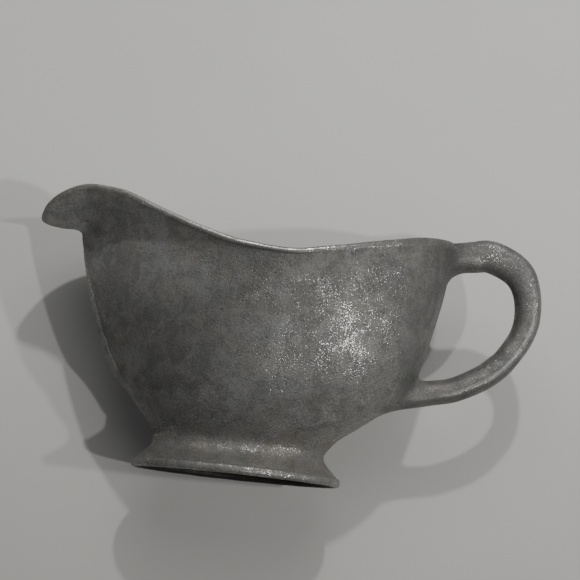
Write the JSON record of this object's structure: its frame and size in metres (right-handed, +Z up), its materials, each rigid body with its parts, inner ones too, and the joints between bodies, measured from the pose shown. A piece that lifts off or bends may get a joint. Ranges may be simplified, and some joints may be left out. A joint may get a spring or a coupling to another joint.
{
  "type": "sauce boat",
  "caption": "Footed sauce boat in cast grey metal with a broad pouring lip, sharp front keel, oval pedestal foot and loop handle.",
  "frame": {"origin": "on the table, under the middle of the overall length, on the centre plane", "axes": "+X towards the handle, so the pouring lip is at -X; +Y across the bowl; +Z up"},
  "size_m": [0.2239, 0.0906, 0.1155],
  "materials": {
    "bowl_pewter": "matte cast, fine pebbly grain, mottled",
    "foot_pewter": "matte cast, slightly warmer",
    "handle_pewter": "matte cast, rubbed bright along the crest",
    "wire_pewter": "rubbed bright by handling",
    "solder_pewter": "rough solder, dull grey"
  },
  "bodies": {
    "root": {"bowl_shell_near": "bowl_pewter", "bowl_shell_far": "bowl_pewter", "keel_seam": "solder_pewter", "back_seam_upper": "solder_pewter", "back_seam_lower": "solder_pewter", "rim_wire": "wire_pewter", "foot": "foot_pewter", "foot_wire": "wire_pewter", "foot_joint": "solder_pewter", "handle": "handle_pewter", "handle_joint_upper": "solder_pewter", "handle_joint_lower": "solder_pewter"}
  },
  "joints": []
}
